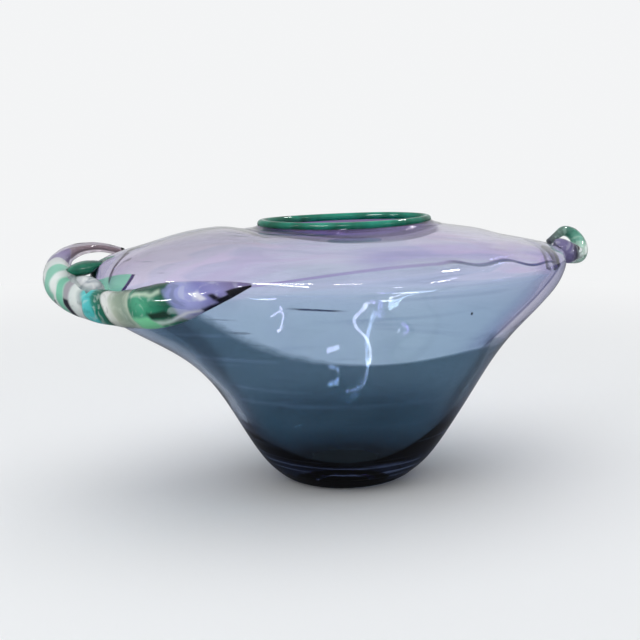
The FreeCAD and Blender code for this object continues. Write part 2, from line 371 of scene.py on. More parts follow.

# The collar's colour runs inwards from the edge of an oval round it. Its dark grey band is partly
# the join and partly painted shadow under the collar.
COLLAR_ALONG, COLLAR_ACROSS = 0.061, 0.0395
COLLAR_INNER = 0.85
COLLAR_AND_SHADOW_STOPS = [
    (0.00, tint(140, 106, 190)), (0.40, tint(134, 104, 184)), (0.56, tint(112, 104, 140)),
    (0.64, tint(66, 66, 78)), (0.90, tint(78, 78, 92)), (1.00, tint(190, 184, 200))]

# Heights along the bowl of the painted shade's sharp edge and of the line that follows the ridge.
SHADE_EDGE_CURVE = (0.0863, 0.016, 1.17, -16.6)
RIDGE_CURVE = (0.1393, 0.0357, -0.751)
# The heel's near-black is partly its thick glass's own colour and partly painted shade.
HEEL_BLACK_AND_SHADE = tint(7, 9, 14)
FOLD_BLUE = tint(24, 34, 60)
SEED_BLACK = tint(10, 16, 30)
LEAF_GREEN = tint(84, 216, 140)
LEAF_EDGE = tint(20, 12, 50)


class BowlGlass(Finish):
    """The bowl's glass, with the places and marks that its colours are worked out from."""

    def __init__(self, owner):
        super().__init__(owner)
        self.place = self.node("ShaderNodeTexCoord", output="Object")
        self.x, self.y, self.z = (
            self.node("ShaderNodeSeparateXYZ", {}, {"Vector": self.place}, output=axis)
            for axis in "XYZ")
        self.outer = self.node("ShaderNodeAttribute", {"attribute_name": "outer"}, output="Fac")
        self.front = 1.0 - between(self.y, -0.035, -0.005)
        self.left = 1.0 - between(self.x, -0.07, -0.01)
        self.swirl = self.cloud(14.0, 2.0)
        self.fine = self.cloud(160.0, 3.0)
        self.thread = self.drawn_cloud((7.0, 7.0, 260.0), 3.0)
        # The edge of the painted shade on the lower side, ragged on the left.
        ragged = (self.fine - 0.5) * self.left * 0.006
        self.shade_edge = curve(self.x, SHADE_EDGE_CURVE) + ragged
        self.above_ridge = self.z - curve(self.x, RIDGE_CURVE)
        inside_drop = (1.0 - self.outer) * 0.007
        self.over = between(self.above_ridge + inside_drop + (self.swirl - 0.5) * 0.002,
                            -0.0010, 0.0014)

    def cloud(self, scale, detail):
        """Give an even noise through the glass."""
        return self.node("ShaderNodeTexNoise", {}, {"Vector": self.place, "Scale": scale,
                                                    "Detail": detail})

    def drawn_cloud(self, scale, detail, turn=(0.0, 0.0, 0.0), roughness=0.5):
        """Give a noise that is drawn out into threads."""
        turned = self.node("ShaderNodeMapping", {}, {"Vector": self.place, "Rotation": turn,
                                                     "Scale": scale})
        return self.node("ShaderNodeTexNoise", {}, {"Vector": turned, "Scale": 1.0,
                                                    "Detail": detail, "Roughness": roughness})

    def side(self):
        """Colour the lower side darker, partly the glass's own colour and partly painted shade. The
        painted shade's sharp edge sags in the front, and fades at the back.
        """
        blurred = self.left * 0.0035 + 0.0005
        sharp = between((self.z - self.shade_edge) / blurred, -1.0, 1.0)
        faded = between(self.z, 0.022, 0.052)
        level = self.z + (self.swirl - 0.5) * 0.006
        low = self.node("ShaderNodeValToRGB", {"stops": LOW_STOPS}, {"Fac": level / LOW_REACH})
        high = self.node("ShaderNodeValToRGB", {"stops": HIGH_STOPS},
                         {"Fac": (level - HIGH_START) / HIGH_REACH})
        return laid_over(faded + (sharp - faded) * self.front, low, high)

    def blackness_and_shade(self, depth):
        """Say where the base is nearly black, partly as its own thick glass and partly as painted
        shade: its heel rises at both ends, on the front.
        """
        from_low = self.x + 0.02
        heel_top = self.node("ShaderNodeMath", {"operation": "MINIMUM"}, {
            0: from_low * from_low * 6.0 + 0.0234, 1: 0.058})
        below = 1.0 - between(self.z - heel_top, -0.0012, 0.0012)
        heel = (1.0 - between(depth, 0.002, 0.014)) * below * (1.0 - between(self.z, 0.040, 0.058))
        foot = (1.0 - between(self.z, 0.004, 0.010)) * (1.0 - between(depth, -0.014, 0.002))
        return self.node("ShaderNodeMath", {"operation": "MAXIMUM"}, {0: heel * self.outer, 1: foot})

    def thick_and_shaded_ends(self, colour, depth):
        """Darken the glass where the side turns in to its two ends: partly thicker glass and partly
        painted shade.
        """
        fades = 0.094 - between(self.x, -0.02, 0.02) * 0.026
        ends = near(depth, 0.0, 0.024) * (1.0 - between(self.z - fades, 0.0, 0.026)) * self.outer
        return laid_over(ends * 0.75, colour, tint(50, 54, 76))

    def shoulder(self):
        """Colour the shoulder lavender, with rose and grey streaks that are pulled along it."""
        pulled = self.drawn_cloud((9.0, 46.0, 30.0), 4.0, turn=(0.0, 0.0, 0.22), roughness=0.6)
        level = self.z + (self.swirl - 0.5) * 0.002
        colour = self.node("ShaderNodeValToRGB", {"stops": SHOULDER_STOPS},
                           {"Fac": (level - SHOULDER_START) / SHOULDER_REACH})
        above = self.above_ridge + (pulled - 0.5) * 0.006
        to_left = 1.0 - between(self.x, -0.020, 0.040)
        for mask, paint in (
                (between(above, 0.010, 0.016) * to_left * 0.6, tint(202, 200, 208)),
                (near(above, 0.0030, 0.0040) * between(self.x, -0.035, 0.0), tint(200, 190, 230)),
                (between(above, 0.004, 0.010) * between(self.x, 0.040, 0.080), tint(250, 248, 252)),
                (between(pulled, 0.50, 0.66) * 0.6, tint(242, 218, 242)),
                ((1.0 - between(pulled, 0.34, 0.48)) * 0.5, tint(208, 208, 218)),
                (between(self.y, -0.010, 0.020) * 0.6, tint(252, 250, 253))):
            colour = laid_over(mask, colour, paint)
        return colour

    def collar(self, colour):
        """Lay violet round the collar, in an oval with a grey rim, paler to the right. The grey rim is
        partly the join and partly painted shadow under the collar, and the inner side is darkened as
        painted shade.
        """
        shrunk = self.node("ShaderNodeVectorMath", {"operation": "MULTIPLY"}, {
            0: self.place, 1: (1.0 / COLLAR_ALONG, 1.0 / COLLAR_ACROSS, 0.0)})
        ring = self.node("ShaderNodeVectorMath", {"operation": "LENGTH"}, {0: shrunk},
                         output="Value")
        violet = self.node("ShaderNodeValToRGB", {"stops": COLLAR_AND_SHADOW_STOPS},
                           {"Fac": (ring - COLLAR_INNER) / (1.0 - COLLAR_INNER)})
        violet = laid_over(between(self.x, -0.030, 0.010) * 0.6, violet, tint(176, 166, 196))
        # Painted shade on the inner side of the collar, in the mouth.
        violet = laid_over((1.0 - self.outer) * 0.7, violet, tint(84, 80, 98))
        oval = (1.0 - between(ring, 0.985, 1.01)) * between(self.z, 0.146, 0.149)
        return laid_over(oval, colour, violet)

    def ridge_line(self, colour, shown):
        """Draw a thin violet line along the ridge, which waves and darkens on the right."""
        right = between(self.x, 0.020, 0.045)
        wave = self.node("ShaderNodeMath", {"operation": "COSINE"},
                         {0: (self.x - WAVE_CREST) * WAVE_RATE})
        line = self.above_ridge + wave * right * 0.0012
        violet = near(line, 0.0, 0.0009) * shown * between(self.x, -0.10, -0.07)
        colour = laid_over(violet * 0.7, colour, tint(150, 100, 190))
        dark = near(line, -0.0003, 0.0010) * shown * right * (1.0 - between(self.x, 0.118, 0.130))
        return laid_over(dark, colour, tint(20, 28, 78))

    def right_tip(self, colour):
        """Make the solid right tip paler than the double wall beside it, past a dark line. The double
        wall just before the line is darkened as painted shade.
        """
        tip = self.x - (self.z - 0.102) * 1.61 - 0.083
        side = (1.0 - self.over) * self.front * between(self.z, 0.086, 0.092)
        before = between(tip, -0.034, -0.004) * side * self.outer
        # Painted shade on the double wall before the tip.
        colour = laid_over(before * 0.75, colour, tint(138, 140, 188))
        colour = laid_over(between(tip, -0.0005, 0.002) * side, colour, tint(240, 238, 248))
        line = near(tip, -0.0010, 0.0026) * side * self.outer
        return laid_over(line * 0.8, colour, tint(50, 54, 104))

    def marks(self, colour, shown):
        """Add level threads, a dark fold line, broken ones by the painted shade's edge, and seeds."""
        threads = (1.0 - self.over) * between(self.thread, 0.56, 0.72)
        colour = laid_over(threads * 0.30, colour, tint(160, 178, 204))
        slanted = self.z + self.x * 0.06 + (self.fine - 0.5) * 0.0012
        fold = near(slanted, 0.1162, 0.0008) * near(self.x, -0.048, 0.018)
        scratch = self.drawn_cloud((26.0, 26.0, 620.0), 2.0, turn=(0.0, 0.18, 0.0))
        broken = near(self.z - self.shade_edge, 0.003, 0.006) * self.left
        broken = broken * between(scratch, 0.58, 0.68) * 0.7
        dark = self.node("ShaderNodeMath", {"operation": "MAXIMUM"}, {0: fold, 1: broken})
        colour = laid_over(dark * shown, colour, FOLD_BLUE)

        cells = {"Vector": self.place, "Scale": 42.0}
        speck = self.node("ShaderNodeTexVoronoi", {}, cells, output="Distance")
        chosen = self.node("ShaderNodeSeparateColor", {}, {
            "Color": self.node("ShaderNodeTexVoronoi", {}, cells, output="Color")})
        seeds = (1.0 - between(speck, 0.030, 0.045)) * between(chosen, 0.72, 0.74)
        return laid_over(seeds * self.outer * (1.0 - self.over), colour, SEED_BLACK)

    def leaf(self, colour):
        """Press a leaf of pale green glass with a dark edge on the front of the left tip."""
        from_crest = self.x + 0.136
        top = 0.1364 - from_crest * from_crest * 19.0
        end = (self.z - 0.1283) * 0.63 - 0.1408
        side = self.outer * (1.0 - between(self.y, 0.001, 0.003)) * between(self.z, 0.118, 0.121)
        side = side * between(top - self.z, 0.0, 0.0006)
        colour = laid_over(side * between(end - self.x, 0.0, 0.0006) * 0.95, colour, LEAF_GREEN)
        return laid_over(side * near(self.x - end, 0.0004, 0.0012), colour, LEAF_EDGE)

    def skin_marks(self):
        """Leave soft waves and fine threads in the outer skin."""
        soft = self.node("ShaderNodeBump", {}, {
            "Strength": 0.10, "Distance": 0.004, "Height": self.swirl * self.outer},
            output="Normal")
        return self.node("ShaderNodeBump", {}, {
            "Strength": 0.08, "Distance": 0.0006, "Height": self.thread * self.outer,
            "Normal": soft}, output="Normal")


def bowl_finish():
    """Colour the bowl's glass by height, with the marks of its making in it, and painted shade in its
    lower side, base and ends.
    """
    glass = BowlGlass(bpy.data.materials.new("smoky_blue_glass"))
    shown = glass.front * glass.outer
    depth = glass.x * 0.342 + glass.y * 0.940
    # The nearly black base is partly painted shade.
    dark = glass.blackness_and_shade(depth)
    colour = laid_over(dark, glass.side(), HEEL_BLACK_AND_SHADE)
    colour = glass.thick_and_shaded_ends(colour, depth)
    colour = glass.collar(laid_over(glass.over, colour, glass.shoulder()))
    colour = glass.right_tip(glass.ridge_line(colour, shown))
    colour = glass.leaf(glass.marks(colour, shown))

    # The gloss is on the outer side, and on the inner one where the back faces the lamps.
    facing = (1.0 - glass.outer) * between(glass.y, 0.030, 0.045) * (1.0 - glass.over)
    surface = glass.node("ShaderNodeBsdfPrincipled", {}, {
        "Base Color": colour, "Roughness": 0.0, "IOR": 1.12, "Transmission Weight": 1.0,
        "Normal": glass.skin_marks(), "Coat Weight": glass.outer * (1.0 - dark * 0.5) + facing,
        "Coat Roughness": 0.02, "Coat IOR": 1.6})
    inside = glass.node("ShaderNodeVolumeAbsorption", {}, {"Color": tint(174, 166, 210),
                                                           "Density": 18.0})
    return glass.shade(surface=surface, volume=inside)


bowl.data.materials.append(bowl_finish())
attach(bowl, "root")
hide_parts("bowl_body")

# The lip wire: a thread of deep green glass trailed round the rim while it was hot, and fire
# polished with it, so that it is a soft round ring that sits on the collar.
LIP_RADIUS = 0.0023
LIP_HEIGHT = 0.1597
LEFT_END_SHARE = 1.22
LEFT_END_FROM = -0.05


def lip_ring():
    """Run a round thread along the middle of the rim."""
    thread = bpy.data.curves.new("lip_thread", "CURVE")
    thread.dimensions = "3D"
    thread.bevel_depth = LIP_RADIUS
    thread.bevel_resolution = 5
    thread.resolution_u = 12
    line = thread.splines.new("NURBS")
    rim = level_poles((LIP_HEIGHT,) + hollow_level(OUTER_LEVELS[-1], COLLAR_WALL / 2,
                                                   COLLAR_WALL / 2)[1:])
    line.points.add(len(rim) - 1)
    for point, place in zip(line.points, rim):
        place.z -= sagged(place)
        point.co = (*place, 1.0)
        point.radius = LEFT_END_SHARE if place.x < LEFT_END_FROM else 1.0
    line.use_cyclic_u = True
    line.order_u = 4
    carrier = bpy.data.objects.new("lip_thread", thread)
    bpy.context.scene.collection.objects.link(carrier)
    mesh = bpy.data.meshes.new_from_object(carrier.evaluated_get(
        bpy.context.evaluated_depsgraph_get()))
    bpy.data.objects.remove(carrier)
    form = bmesh.new()
    form.from_mesh(mesh)
    bmesh.ops.remove_doubles(form, verts=form.verts, dist=1e-6)
    bmesh.ops.recalc_face_normals(form, faces=form.faces)
    return finish_form("lip_glass", form)


def lip_finish():
    """Deep green glass with a little unevenness in its colour."""
    glass = Finish(bpy.data.materials.new("green_glass"))
    place = glass.node("ShaderNodeTexCoord", output="Object")
    cloud = glass.node("ShaderNodeTexNoise", {}, {"Vector": place, "Scale": 60.0, "Detail": 3.0})
    colour = glass.node("ShaderNodeValToRGB", {"stops": [
        (0.35, tint(6, 104, 80)), (0.65, tint(34, 160, 132))]}, {"Fac": cloud})
    surface = glass.node("ShaderNodeBsdfPrincipled", {}, {
        "Base Color": colour, "Roughness": 0.03, "IOR": 1.5, "Transmission Weight": 0.3})
    return glass.shade(surface=surface)


lip = lip_ring()
lip.data.materials.append(lip_finish())
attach(lip, "root")
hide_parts("lip_wrap")

# The large handle: a thick rod of clear glass with twisted bands of colour in it. It was laid hot
# along the ridge as a long wedge, drawn round the left tip and thinned out to its end behind it.
# Each station is a point on the rod's middle line and the rod's radius there.
LEFT_STATIONS = [
    (-0.0800, -0.0680, 0.1325, 0.0009),
    (-0.0915, -0.0645, 0.1300, 0.0050),
    (-0.1065, -0.0610, 0.1265, 0.0090),
    (-0.1185, -0.0545, 0.1230, 0.0117),
    (-0.1300, -0.0460, 0.1200, 0.0119),
    (-0.1420, -0.0355, 0.1182, 0.0103),
    (-0.1535, -0.0245, 0.1188, 0.0094),
    (-0.1630, -0.0125, 0.1216, 0.0096),
    (-0.1695, 0.0000, 0.1265, 0.0098),
    (-0.1710, 0.0125, 0.1318, 0.0086),
    (-0.1685, 0.0250, 0.1370, 0.0066),
    (-0.1625, 0.0345, 0.1410, 0.0050),
    (-0.1530, 0.0390, 0.1436, 0.0037),
    (-0.1425, 0.0365, 0.1440, 0.0030),
    (-0.1320, 0.0270, 0.1420, 0.0026),
]
ROD_STEPS = 7
ROD_SIDES = 32
LUMP_SCALE = 130.0
LUMPS_IN_FULL_FROM = 0.006
CORE_SHARE = 0.98
CASING_SINK = 0.0012
CORE_SINK = -0.0006


def run_through(stations, steps):
    """Give places and radii on a smooth line through the stations."""
    ends = [stations[0]] + stations + [stations[-1]]
    line = []
    for before, start, end, after in zip(ends, ends[1:], ends[2:], ends[3:]):
        for step in range(steps):
            share = step / steps
            line.append([0.5 * (2 * here + (ahead - back) * share
                                + (2 * back - 5 * here + 4 * ahead - beyond) * share ** 2
                                + (3 * here - back - 3 * ahead + beyond) * share ** 3)
                         for back, here, ahead, beyond in zip(before, start, end, after)])
    line.append(list(stations[-1]))
    return line


def follow(knots, place):
    """Read a value off a line through (place, value) knots."""
    for (start, low), (end, high) in zip(knots, knots[1:]):
        if place <= end:
            return low + (high - low) * max(0.0, (place - start) / (end - start))
    return knots[-1][1]


def rod(stations, swell=((0.0, 1.0), (1.0, 1.0)), lumps=0.0):
    """Extrude a round rod of changing thickness along a smooth line.

    Each point keeps how far along the rod it is, and how high on its side it lies.
    """
    line = run_through(stations, ROD_STEPS)
    places = [Vector(step[:3]) for step in line]
    form = bmesh.new()
    along_layer = form.verts.layers.float.new("along")
    rise_layer = form.verts.layers.float.new("rise")
    bmesh.ops.create_circle(form, segments=ROD_SIDES, radius=1.0, cap_ends=True, cap_tris=True)
    centre = max(form.verts, key=lambda vert: len(vert.link_edges))
    lead = sorted((vert for vert in form.verts if vert is not centre), key=lambda vert: vert.index)
    edge_loop = [edge for edge in form.edges if centre not in edge.verts]
    total = sum((b - a).length for a, b in zip(places, places[1:]))
    travelled = 0.0
    for number, place in enumerate(places):
        ahead = places[min(number + 1, len(places) - 1)]
        behind = places[max(number - 1, 0)]
        along = (ahead - behind).normalized()
        side = along.cross(Vector((0, 0, 1))).normalized()
        up = side.cross(along)
        if number:
            travelled += (place - places[number - 1]).length
            made = bmesh.ops.extrude_edge_only(form, edges=edge_loop)["geom"]
            edge_loop = [part for part in made if isinstance(part, bmesh.types.BMEdge)]
            new_verts = {part for part in made if isinstance(part, bmesh.types.BMVert)}
            order = {vert: index for index, vert in enumerate(lead)}
            lead = sorted(new_verts, key=lambda vert: next(
                order[edge.other_vert(vert)] for edge in vert.link_edges
                if edge.other_vert(vert) in order))
        else:
            centre.co = place
        share = travelled / total
        radius = line[number][3] * follow(swell, share)
        for index, vert in enumerate(lead):
            turn = 2.0 * pi * index / ROD_SIDES
            outward = cos(turn) * side + sin(turn) * up
            dent = lumps * (noise.noise((place + outward * radius) * LUMP_SCALE) - 1.0)
            vert.co = place + (radius + dent * min(1.0, radius / LUMPS_IN_FULL_FROM)) * outward
            vert[along_layer] = share
            vert[rise_layer] = sin(turn)
    tip = bmesh.ops.extrude_edge_only(form, edges=edge_loop)["geom"]
    last = [part for part in tip if isinstance(part, bmesh.types.BMVert)]
    for vert in last:
        vert[along_layer] = 1.0
    bmesh.ops.pointmerge(form, verts=last, merge_co=places[-1])
    bmesh.ops.recalc_face_normals(form, faces=form.faces)
    return form


def seat(form, sink):
    """Press what lies inside the bowl out to its skin, where the hot glass was laid on.

    It ends below the skin by the sink, or above it where the sink is negative.
    """
    skin_tree = BVHTree.FromObject(bowl, bpy.context.evaluated_depsgraph_get())
    for vert in form.verts:
        closest, outward, _, distance = skin_tree.find_nearest(vert.co)
        inside = (vert.co - closest).dot(outward) < 0.0
        if inside and distance > sink:
            vert.co = closest - outward * sink


def laid_rod(name, stations, swell=((0.0, 1.0), (1.0, 1.0)), lumps=0.0):
    """Lay a rod of clear glass on the bowl."""
    form = rod(stations, swell, lumps)
    seat(form, CASING_SINK)
    return finish_form(name, form)


def laid_core(name, stations, swell):
    """Make the coloured core inside a rod, which shows through the rod also where it is laid on."""
    form = rod([(x, y, z, radius * CORE_SHARE) for x, y, z, radius in stations], swell)
    seat(form, CORE_SINK)
    return finish_form(name, form)


# The rod narrows a little between its bands. The colour lies in a core, which fills the rod under
# the solid bands and is a thin thread where the rod is clear.
LEFT_BEADS = [(0.0, 1.0), (0.20, 1.0), (0.25, 1.01), (0.328, 0.97), (0.36, 1.01), (0.39, 0.97),
              (0.45, 1.01), (0.487, 0.97), (0.51, 0.99), (0.527, 0.97), (0.56, 1.0), (1.0, 1.0)]
LEFT_CORE = [(0.0, 0.9), (0.11, 0.86), (0.14, 0.78), (0.20, 0.78), (0.225, 0.84), (0.322, 0.84),
             (0.336, 0.60), (0.384, 0.60), (0.392, 0.80), (0.478, 0.82), (0.487, 0.35),
             (0.494, 0.70), (0.520, 0.70), (0.528, 0.78), (0.553, 0.78), (0.560, 0.62),
             (0.585, 0.62), (0.594, 0.42), (0.608, 0.42), (0.616, 0.62), (0.652, 0.62),
             (0.662, 0.72), (0.710, 0.72), (0.725, 0.40), (0.80, 0.30), (1.0, 0.30)]
left_handle = laid_rod("left_handle_glass", LEFT_STATIONS, LEFT_BEADS, lumps=0.0003)
left_core = laid_core("left_handle_core", LEFT_STATIONS, LEFT_CORE)


def casing_finish(name, stops):
    """Clear glass with a faint colour that changes along the rod."""
    glass = Finish(bpy.data.materials.new(name))
    along = glass.node("ShaderNodeAttribute", {"attribute_name": "along"}, output="Fac")
    place = glass.node("ShaderNodeTexCoord", output="Object")
    ripple = glass.node("ShaderNodeTexNoise", {}, {"Vector": place, "Scale": 70.0, "Detail": 1.0})
    colour = glass.node("ShaderNodeValToRGB", {"stops": stops},
                        {"Fac": along + (ripple - 0.5) * 0.02})
    drawn = glass.node("ShaderNodeBump", {}, {"Strength": 0.35, "Distance": 0.003,
                                              "Height": ripple}, output="Normal")
    surface = glass.node("ShaderNodeBsdfPrincipled", {}, {
        "Base Color": colour, "Roughness": 0.0, "IOR": 1.45, "Transmission Weight": 1.0,
        "Normal": drawn})
    return glass.shade(surface=surface)


TOUCH_END_BLUR = 0.006
TOUCH_SIDE_BLUR = 0.12


def within(value, low, high, blur):
    """Give 1 from low to high and 0 past them, with ends that are blurred."""
    return between(value, low - blur, low + blur) * (1.0 - between(value, high - blur, high + blur))


def core_finish(name, stops, slant, touches=()):
    """Coloured glass whose bands lean and wander round the rod, with touches laid over them.

    Each touch is its colour, the start and end along the rod, and its lowest and highest rise.
    """
    glass = Finish(bpy.data.materials.new(name))
    along = glass.node("ShaderNodeAttribute", {"attribute_name": "along"}, output="Fac")
    rise = glass.node("ShaderNodeAttribute", {"attribute_name": "rise"}, output="Fac")
    place = glass.node("ShaderNodeTexCoord", output="Object")
    ripple = glass.node("ShaderNodeTexNoise", {}, {"Vector": place, "Scale": 90.0, "Detail": 1.0})
    marble = glass.node("ShaderNodeTexNoise", {}, {"Vector": place, "Scale": 75.0, "Detail": 2.0,
                                                   "Distortion": 2.5})
    where = along + rise * slant + (ripple - 0.5) * 0.030
    colour = glass.node("ShaderNodeValToRGB", {"stops": stops}, {"Fac": where})
    colour = laid_over(between(marble, 0.52, 0.66) * 0.35, colour, tint(236, 242, 240))
    colour = laid_over((1.0 - between(marble, 0.30, 0.42)) * 0.25, colour, tint(24, 60, 62))
    height = rise + (ripple - 0.5) * 0.5
    for paint, start, end, low, high in touches:
        colour = laid_over(within(where, start, end, TOUCH_END_BLUR)
                           * within(height, low, high, TOUCH_SIDE_BLUR), colour, paint)
    surface = glass.node("ShaderNodeBsdfPrincipled", {}, {
        "Base Color": colour, "Roughness": 0.3, "IOR": 1.3})
    return glass.shade(surface=surface)


left_handle.data.materials.append(casing_finish("banded_glass", [
    (0.00, tint(214, 208, 228)), (0.12, tint(226, 226, 238)), (0.20, tint(224, 226, 238)),
    (0.23, tint(214, 236, 226)), (0.32, tint(230, 240, 236)), (0.35, tint(206, 210, 200)),
    (0.38, tint(216, 220, 210)), (0.40, tint(240, 242, 240)), (0.60, tint(236, 242, 240)),
    (0.70, tint(228, 234, 232)), (0.76, tint(198, 192, 212)), (0.84, tint(190, 182, 190)),
    (1.00, tint(176, 166, 176))]))
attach(left_handle, "root")
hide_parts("left_handle")
left_core.data.materials.append(core_finish("banded_core", [
    (0.00, tint(137, 128, 166)), (0.055, tint(150, 144, 185)), (0.085, tint(162, 160, 207)),
    (0.115, tint(144, 144, 201)), (0.165, tint(182, 187, 233)), (0.205, tint(150, 157, 205)),
    (0.214, tint(23, 96, 75)), (0.25, tint(48, 141, 112)), (0.285, tint(84, 178, 144)),
    (0.318, tint(64, 148, 119)), (0.328, tint(214, 222, 208)), (0.345, tint(168, 186, 174)),
    (0.365, tint(182, 196, 184)), (0.384, tint(214, 220, 210)),
    (0.390, tint(250, 250, 250)), (0.408, tint(250, 250, 250)), (0.414, tint(7, 96, 75)),
    (0.440, tint(16, 128, 109)), (0.450, tint(80, 203, 207)), (0.480, tint(105, 223, 226)),
    (0.487, tint(171, 180, 182)), (0.500, tint(250, 250, 250)), (0.527, tint(235, 239, 239))],
    slant=-0.02, touches=[
        (tint(180, 171, 182), 0.527, 0.553, 0.05, 2.0), (tint(30, 18, 44), 0.527, 0.553, -2.0, 0.05),
        (tint(135, 210, 182), 0.553, 0.588, -2.0, 2.0), (tint(250, 250, 250), 0.588, 0.612, -2.0, 2.0),
        (tint(153, 217, 196), 0.612, 0.655, -2.0, 2.0), (tint(250, 250, 250), 0.655, 0.715, -2.0, 2.0),
        (tint(171, 162, 196), 0.715, 0.80, -2.0, 2.0), (tint(171, 155, 160), 0.80, 2.0, -2.0, 2.0),
        (tint(8, 4, 20), 0.00, 0.075, -2.0, 0.15), (tint(12, 6, 28), 0.07, 0.115, -2.0, -0.35),
        (tint(22, 14, 44), 0.10, 0.165, -2.0, -0.72), (tint(16, 10, 40), 0.100, 0.118, -0.4, 0.15),
        # The white touch from 0.13 to 0.15 along the rod is a painted highlight.
        (tint(250, 250, 250), 0.165, 0.30, -0.86, -0.68), (tint(250, 250, 250), 0.13, 0.15, -0.1, 0.5),
        (tint(6, 52, 40), 0.225, 0.275, -0.62, -0.25), (tint(150, 235, 187), 0.275, 0.326, -2.0, -0.45),
        (tint(11, 82, 64), 0.20, 0.30, 0.78, 2.0), (tint(250, 250, 235), 0.215, 0.305, 0.64, 0.76)]))
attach(left_core, "root")
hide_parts("left_handle")

# The dab under the large handle: a drop of green glass pressed over the left tip, which the rod was
# laid on. It melts into the rod on one side and was drawn out to a point along the tip's top.
DAB_RADII = (0.0150, 0.0105, 0.0046)
DAB_PLACE = (-0.1538, -0.0008, 0.1374)
DAB_LEAN, DAB_TURN = -12.0, -22.0
DAB_SINK = -0.0005
DAB_NARROWING = 0.75


def melted_drop(name, radii, lean, turn, place, sink, narrowing=0.0):
    """Lay a round drop of glass on the bowl, which may narrow to a point towards the right."""
    form = bmesh.new()
    bmesh.ops.create_uvsphere(form, u_segments=48, v_segments=24, radius=1.0)
    for vert in form.verts:
        narrowed = 1.0 - narrowing * eased(vert.co.x, -0.6, 1.0)
        vert.co = Vector((vert.co.x, vert.co.y * narrowed, vert.co.z * narrowed))
    bmesh.ops.scale(form, vec=radii, verts=form.verts)
    for angle, axis in ((lean, "Y"), (turn, "Z")):
        bmesh.ops.rotate(form, cent=(0.0, 0.0, 0.0), verts=form.verts,
                         matrix=Matrix.Rotation(radians(angle), 3, axis))
    bmesh.ops.translate(form, vec=place, verts=form.verts)
    seat(form, sink)
    return finish_form(name, form)


def dab_finish():
    """Green glass with a dark violet streak in it."""
    glass = Finish(bpy.data.materials.new("dab_glass"))
    place = glass.node("ShaderNodeTexCoord", output="Object")
    y = glass.node("ShaderNodeSeparateXYZ", {}, {"Vector": place}, output="Y")
    x = glass.node("ShaderNodeSeparateXYZ", {}, {"Vector": place}, output="X")
    cloud = glass.node("ShaderNodeTexNoise", {}, {"Vector": place, "Scale": 120.0, "Detail": 2.0})
    green = glass.node("ShaderNodeValToRGB", {"stops": [
        (0.3, tint(14, 84, 66)), (0.7, tint(48, 140, 112))]}, {"Fac": cloud})
    streak = near(y + (cloud - 0.5) * 0.003 + x * 0.4 + 0.0645, 0.0, 0.0012)
    colour = laid_over(streak * between(x, -0.158, -0.150) * 0.8, green, tint(34, 26, 60))
    surface = glass.node("ShaderNodeBsdfPrincipled", {}, {
        "Base Color": colour, "Roughness": 0.02, "IOR": 1.4, "Transmission Weight": 0.3})
    return glass.shade(surface=surface)


dab = melted_drop("left_handle_dab", DAB_RADII, DAB_LEAN, DAB_TURN, DAB_PLACE, DAB_SINK,
                  DAB_NARROWING)
dab.data.materials.append(dab_finish())
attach(dab, "root")
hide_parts("left_handle")

# The web beside the dab: nearly clear glass that ran into the fold between the rod and the left tip
# while both were hot, and froze there as a soft pad with pale threads in it.
WEB_RADII = (0.0075, 0.0150, 0.0078)
WEB_PLACE = (-0.1585, -0.0100, 0.1258)
WEB_TURN = 28.0
WEB_SINK = 0.0008


def web_finish():
    """Nearly clear glass with pale threads in it."""
    glass = Finish(bpy.data.materials.new("web_glass"))
    place = glass.node("ShaderNodeTexCoord", output="Object")
    cloud = glass.node("ShaderNodeTexNoise", {}, {"Vector": place, "Scale": 110.0, "Detail": 2.0,
                                                  "Distortion": 1.5})
    colour = glass.node("ShaderNodeValToRGB", {"stops": [
        (0.35, tint(176, 184, 190)), (0.55, tint(222, 226, 230)), (0.7, tint(246, 248, 246))]},
        {"Fac": cloud})
    surface = glass.node("ShaderNodeBsdfPrincipled", {}, {
        "Base Color": colour, "Roughness": 0.02, "IOR": 1.4, "Transmission Weight": 0.3})
    return glass.shade(surface=surface)


web = melted_drop("left_handle_web", WEB_RADII, 0.0, WEB_TURN, WEB_PLACE, WEB_SINK)
web.data.materials.append(web_finish())
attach(web, "root")
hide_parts("left_handle")

# The small handle: a short thick root of violet glass on the right tip that curls up and back as a
# thinner rod of pale green, cased in clear glass.
RIGHT_STATIONS = [
    (0.1485, -0.0005, 0.1358, 0.0064),
    (0.1515, -0.0015, 0.1356, 0.0077),
    (0.1590, -0.0035, 0.1332, 0.0070),
    (0.1660, -0.0025, 0.1320, 0.0053),
    (0.1710, 0.0030, 0.1360, 0.0048),
    (0.1720, 0.0090, 0.1410, 0.0045),
    (0.1695, 0.0130, 0.1450, 0.0040),
    (0.1640, 0.0135, 0.1463, 0.0034),
    (0.1575, 0.0110, 0.1440, 0.0027),
    (0.1495, 0.0080, 0.1400, 0.0023),
]
RIGHT_CORE = [(0.0, 0.80), (0.18, 0.80), (0.24, 0.25), (0.40, 0.25), (0.48, 0.62), (0.72, 0.66),
              (0.80, 0.70), (1.0, 0.70)]
right_handle = laid_rod("right_handle_glass", RIGHT_STATIONS, lumps=0.00015)
right_core = laid_core("right_handle_core", RIGHT_STATIONS, RIGHT_CORE)
right_handle.data.materials.append(casing_finish("pale_green_glass", [
    (0.00, tint(206, 202, 222)), (0.18, tint(206, 202, 222)), (0.26, tint(232, 240, 236)),
    (0.45, tint(226, 240, 234)), (0.60, tint(200, 232, 220)), (1.00, tint(190, 214, 208))]))
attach(right_handle, "root")
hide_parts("right_handle")
